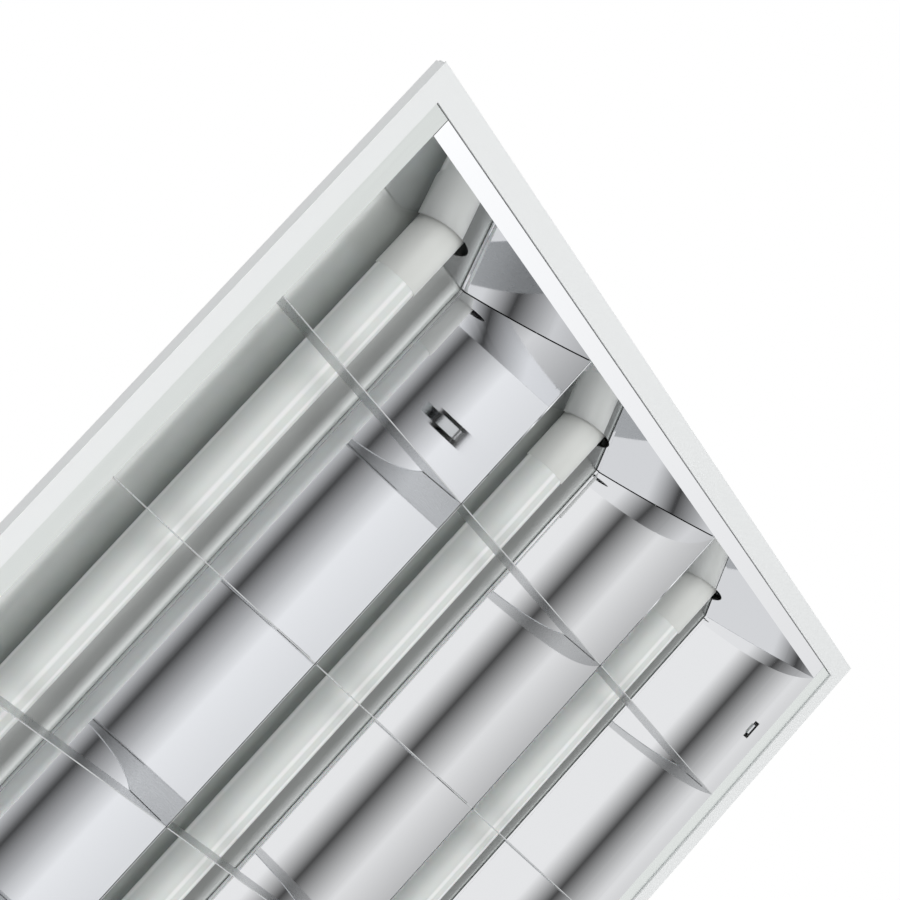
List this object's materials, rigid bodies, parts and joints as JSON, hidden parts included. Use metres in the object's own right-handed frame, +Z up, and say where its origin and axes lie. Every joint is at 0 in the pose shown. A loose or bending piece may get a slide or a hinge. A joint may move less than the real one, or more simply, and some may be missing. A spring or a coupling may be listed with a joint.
{
  "type": "recessed troffer light",
  "caption": "Square recessed ceiling troffer with a white steel tray, a mirror louvre that drops on spring catches, and tube lamps that turn out of their lampholders.",
  "frame": {"origin": "centre of the flange's underside, the plane that lies on the ceiling grid's T-bars", "axes": "+Z up into the ceiling, +Y along the lamps, +X across them; light leaves along -Z"},
  "size_m": [0.603, 0.603, 0.0943],
  "materials": {
    "tray_paint": "powder coat, smooth satin",
    "reflector_paint": "coated sheet, satin",
    "mirror_aluminium": "anodised and polished sheet",
    "lamp_glass": "diffusing tube, satin",
    "cap_plastic": "moulded, satin",
    "board_white": "white solder mask with small chips",
    "white_plastic": "moulded",
    "nylon_natural": "moulded, undyed",
    "black_rubber": "moulded",
    "brass_parts": "plain",
    "zinc_steel": "zinc plated",
    "wire_brown": "wire sheath",
    "wire_blue": "wire sheath",
    "wire_green": "wire sheath"
  },
  "bodies": {
    "housing": {"flange_frame": "tray_paint", "housing_tray": "tray_paint", "tray_end_front": "tray_paint", "tray_end_rear": "tray_paint", "upper_reflector": "reflector_paint", "reflector_spacers": "zinc_steel", "reflector_screws": "zinc_steel", "cable_grommet": "black_rubber", "terminal_block": "white_plastic", "terminal_screws": "brass_parts", "earth_stud": "zinc_steel", "earth_nut": "zinc_steel", "wire_live": "wire_brown", "wire_neutral": "wire_blue", "wire_earth": "wire_green", "lampholder_1_front": "white_plastic", "lampholder_2_front": "white_plastic", "lampholder_3_front": "white_plastic", "lampholder_1_rear": "white_plastic", "lampholder_2_rear": "white_plastic", "lampholder_3_rear": "white_plastic", "lampholder_contacts": "brass_parts"},
    "louvre": {"v_profile_left": "mirror_aluminium", "side_profile_left": "mirror_aluminium", "v_profile_right": "mirror_aluminium", "side_profile_right": "mirror_aluminium", "end_plate_front": "mirror_aluminium", "end_plate_rear": "mirror_aluminium", "cross_blade_1": "mirror_aluminium", "cross_blade_2": "mirror_aluminium", "cross_blade_3": "mirror_aluminium", "cross_blade_4": "mirror_aluminium", "catch_guides": "nylon_natural"},
    "lamp_1": {"lamp_tube_1": "lamp_glass", "led_board_1": "board_white", "lamp_cap_1_front": "cap_plastic", "lamp_cap_1_rear": "cap_plastic", "lamp_pins_1": "brass_parts", "lampholder_rotor_1_front": "white_plastic", "lampholder_rotor_1_rear": "white_plastic"},
    "lamp_2": {"lamp_tube_2": "lamp_glass", "led_board_2": "board_white", "lamp_cap_2_front": "cap_plastic", "lamp_cap_2_rear": "cap_plastic", "lamp_pins_2": "brass_parts", "lampholder_rotor_2_front": "white_plastic", "lampholder_rotor_2_rear": "white_plastic"},
    "lamp_3": {"lamp_tube_3": "lamp_glass", "led_board_3": "board_white", "lamp_cap_3_front": "cap_plastic", "lamp_cap_3_rear": "cap_plastic", "lamp_pins_3": "brass_parts", "lampholder_rotor_3_front": "white_plastic", "lampholder_rotor_3_rear": "white_plastic"},
    "catch_left_front": {"spring_catch_left_front": "zinc_steel"},
    "catch_left_rear": {"spring_catch_left_rear": "zinc_steel"},
    "catch_right_front": {"spring_catch_right_front": "zinc_steel"},
    "catch_right_rear": {"spring_catch_right_rear": "zinc_steel"}
  },
  "joints": [
    {"name": "louvre_drop", "type": "slide", "parent": "housing", "child": "louvre", "axis": [0, 0, 1], "range_m": [-0.11, 0]},
    {"name": "lamp_1_turn", "type": "hinge", "parent": "housing", "child": "lamp_1", "pos_m": [-0.18435, 0, 0.0584], "axis": [0, 1, 0], "range_deg": [0, 90]},
    {"name": "lamp_2_turn", "type": "hinge", "parent": "housing", "child": "lamp_2", "pos_m": [0, 0, 0.0584], "axis": [0, 1, 0], "range_deg": [0, 90]},
    {"name": "lamp_3_turn", "type": "hinge", "parent": "housing", "child": "lamp_3", "pos_m": [0.18435, 0, 0.0584], "axis": [0, 1, 0], "range_deg": [0, 90]},
    {"name": "catch_left_front_release", "type": "slide", "parent": "louvre", "child": "catch_left_front", "axis": [1, 0, 0], "range_m": [0, 0.004], "stiffness_N_per_m": 1500, "springref_m": -0.002},
    {"name": "catch_left_rear_release", "type": "slide", "parent": "louvre", "child": "catch_left_rear", "axis": [1, 0, 0], "range_m": [0, 0.004], "stiffness_N_per_m": 1500, "springref_m": -0.002},
    {"name": "catch_right_front_release", "type": "slide", "parent": "louvre", "child": "catch_right_front", "axis": [-1, 0, 0], "range_m": [0, 0.004], "stiffness_N_per_m": 1500, "springref_m": -0.002},
    {"name": "catch_right_rear_release", "type": "slide", "parent": "louvre", "child": "catch_right_rear", "axis": [-1, 0, 0], "range_m": [0, 0.004], "stiffness_N_per_m": 1500, "springref_m": -0.002}
  ]
}
